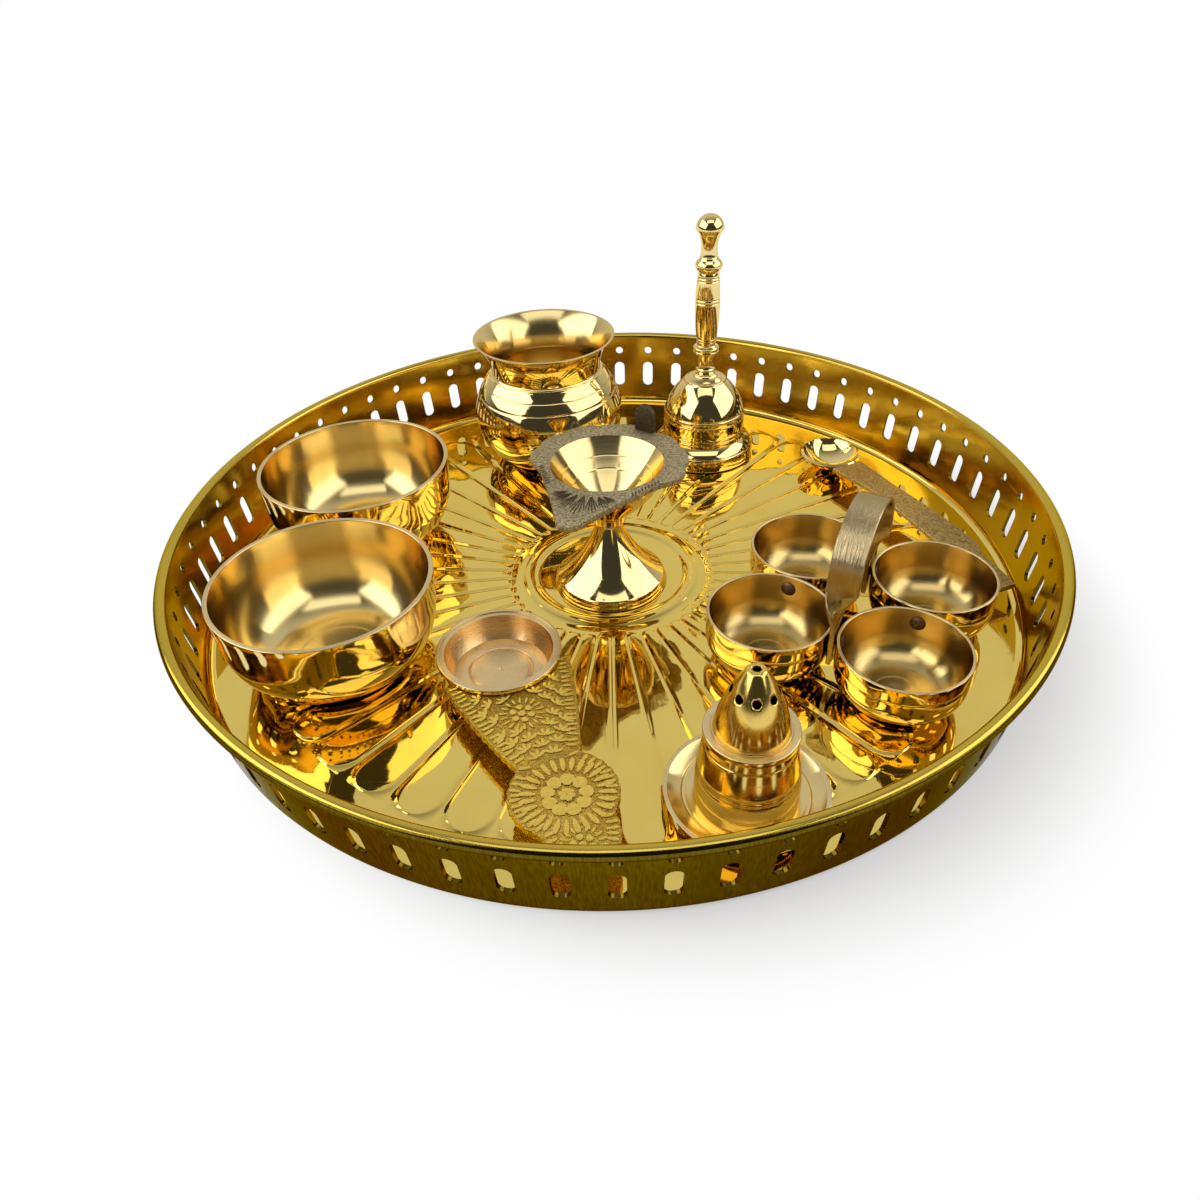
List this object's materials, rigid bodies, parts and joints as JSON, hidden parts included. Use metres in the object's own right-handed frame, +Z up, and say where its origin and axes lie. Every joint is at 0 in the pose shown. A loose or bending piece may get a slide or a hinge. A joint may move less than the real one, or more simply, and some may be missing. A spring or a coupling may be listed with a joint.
{
  "type": "puja thali set",
  "caption": "Brass puja thali: round tray with a pierced wall and petal floor, holding bowls, water pot, oil lamp, bell, spoon, powder holder, incense stand and camphor burner.",
  "frame": {"origin": "middle of the tray's underside", "axes": "+Z up, -Y towards the front of the set as it is shown"},
  "size_m": [0.305, 0.305, 0.1038],
  "materials": {
    "tray_brass": "polished",
    "vessel_brass": "polished",
    "cast_brass": "matt cast",
    "brushed_brass": "brushed",
    "fixing_brass": "dull"
  },
  "bodies": {
    "tray": {"thali_tray": "tray_brass"},
    "katori_front": {"katori_front": "vessel_brass"},
    "katori_rear": {"katori_rear": "vessel_brass"},
    "kalash": {"kalash": "vessel_brass"},
    "diya": {"diya_foot": "vessel_brass", "diya_pan": "cast_brass"},
    "bell": {"bell_dome": "vessel_brass", "bell_handle": "vessel_brass", "bell_staple": "fixing_brass"},
    "clapper": {"bell_clapper": "fixing_brass"},
    "spoon": {"spoon": "brushed_brass"},
    "kumkum": {"kumkum_bowl_front_left": "vessel_brass", "kumkum_bowl_rear_left": "vessel_brass", "kumkum_bowl_rear_right": "vessel_brass", "kumkum_bowl_front_right": "vessel_brass", "kumkum_handle": "brushed_brass", "kumkum_rivet_left": "fixing_brass", "kumkum_rivet_right": "fixing_brass", "kumkum_rivet_front": "fixing_brass", "kumkum_rivet_rear": "fixing_brass"},
    "incense": {"incense_saucer": "vessel_brass", "incense_body": "vessel_brass", "incense_nose": "vessel_brass", "incense_screw": "fixing_brass"},
    "aarti": {"aarti_dish": "vessel_brass", "aarti_handle": "cast_brass"}
  },
  "joints": [
    {"name": "katori_front_lift", "type": "slide", "parent": "tray", "child": "katori_front", "axis": [0, 0, 1], "range_m": [0, 0.06]},
    {"name": "katori_rear_lift", "type": "slide", "parent": "tray", "child": "katori_rear", "axis": [0, 0, 1], "range_m": [0, 0.06]},
    {"name": "kalash_lift", "type": "slide", "parent": "tray", "child": "kalash", "axis": [0, 0, 1], "range_m": [0, 0.06]},
    {"name": "diya_lift", "type": "slide", "parent": "tray", "child": "diya", "axis": [0, 0, 1], "range_m": [0, 0.06]},
    {"name": "bell_lift", "type": "slide", "parent": "tray", "child": "bell", "axis": [0, 0, 1], "range_m": [0, 0.06]},
    {"name": "spoon_lift", "type": "slide", "parent": "tray", "child": "spoon", "axis": [0, 0, 1], "range_m": [0, 0.06]},
    {"name": "kumkum_lift", "type": "slide", "parent": "tray", "child": "kumkum", "axis": [0, 0, 1], "range_m": [0, 0.06]},
    {"name": "incense_lift", "type": "slide", "parent": "tray", "child": "incense", "axis": [0, 0, 1], "range_m": [0, 0.06]},
    {"name": "aarti_lift", "type": "slide", "parent": "tray", "child": "aarti", "axis": [0, 0, 1], "range_m": [0, 0.06]},
    {"name": "clapper_swing", "type": "hinge", "parent": "bell", "child": "clapper", "pos_m": [0.04496, 0.08977, 0.0271], "axis": [1, 0, 0], "range_deg": [-42, 42]}
  ]
}
